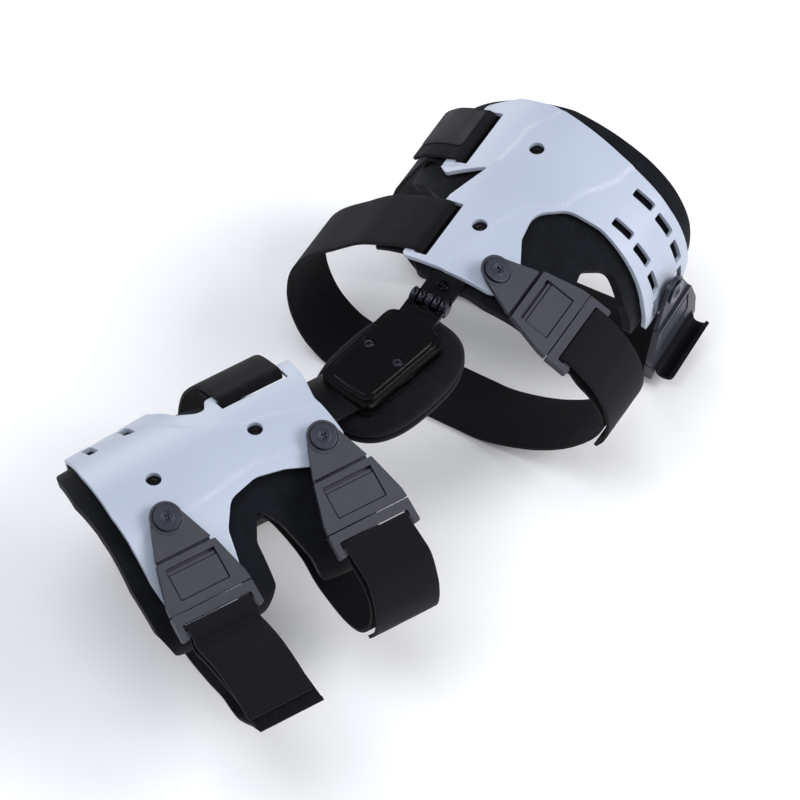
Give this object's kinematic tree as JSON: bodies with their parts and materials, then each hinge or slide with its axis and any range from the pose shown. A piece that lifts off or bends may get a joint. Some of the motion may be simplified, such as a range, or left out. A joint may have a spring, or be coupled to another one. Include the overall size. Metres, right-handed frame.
{
  "type": "hinged knee brace",
  "caption": "One-sided hinged knee brace: pale moulded thigh and calf cuffs, a black hinge with a padded back, buckled webbing straps and dark fabric lining.",
  "frame": {"origin": "middle of the outer face of the hinge cover, on the knee's axis", "axes": "+X up the thigh from the knee, +Y to the back of the leg, +Z out from the leg's outer side, which is up as it lies"},
  "size_m": [0.4998, 0.2804, 0.1595],
  "materials": {
    "shell": "satin",
    "strap": "napped",
    "padding": "matt",
    "buckle": "satin",
    "screws": "dark plated",
    "hinge_metal": "gloss black"
  },
  "bodies": {
    "hinge": {"condyle_pad": "padding", "hinge_back": "hinge_metal", "hinge_base": "hinge_metal", "hinge_cover": "hinge_metal", "hinge_pivot": "screws", "hinge_screw_back": "screws", "hinge_screw_front": "screws", "knuckle_pin": "screws"},
    "thigh": {"thigh_arm": "hinge_metal", "thigh_arm_screw_far": "screws", "thigh_arm_screw_near": "screws", "thigh_buckle_lower": "buckle", "thigh_buckle_lower_latch": "buckle", "thigh_buckle_lower_screw": "screws", "thigh_buckle_upper": "buckle", "thigh_buckle_upper_latch": "buckle", "thigh_buckle_upper_screw": "screws", "thigh_liner": "padding", "thigh_shell": "shell", "thigh_strap_lower": "strap", "thigh_strap_upper": "strap", "adjuster_screw": "screws"},
    "calf": {"calf_arm": "hinge_metal", "calf_arm_screw_far": "screws", "calf_arm_screw_near": "screws", "calf_buckle_lower": "buckle", "calf_buckle_lower_latch": "buckle", "calf_buckle_lower_screw": "screws", "calf_buckle_upper": "buckle", "calf_buckle_upper_latch": "buckle", "calf_buckle_upper_screw": "screws", "calf_liner": "padding", "calf_shell": "shell", "calf_strap_lower": "strap", "calf_strap_upper": "strap"}
  },
  "joints": [
    {"name": "knee", "type": "hinge", "parent": "hinge", "child": "calf", "pos_m": [0, 0, 0], "axis": [0, 0, 1], "range_deg": [-62.6, 27.4]},
    {"name": "knuckle", "type": "hinge", "parent": "hinge", "child": "thigh", "pos_m": [0.055, -0.003, -0.006], "axis": [0, 1, 0], "range_deg": [-8, 8]}
  ]
}
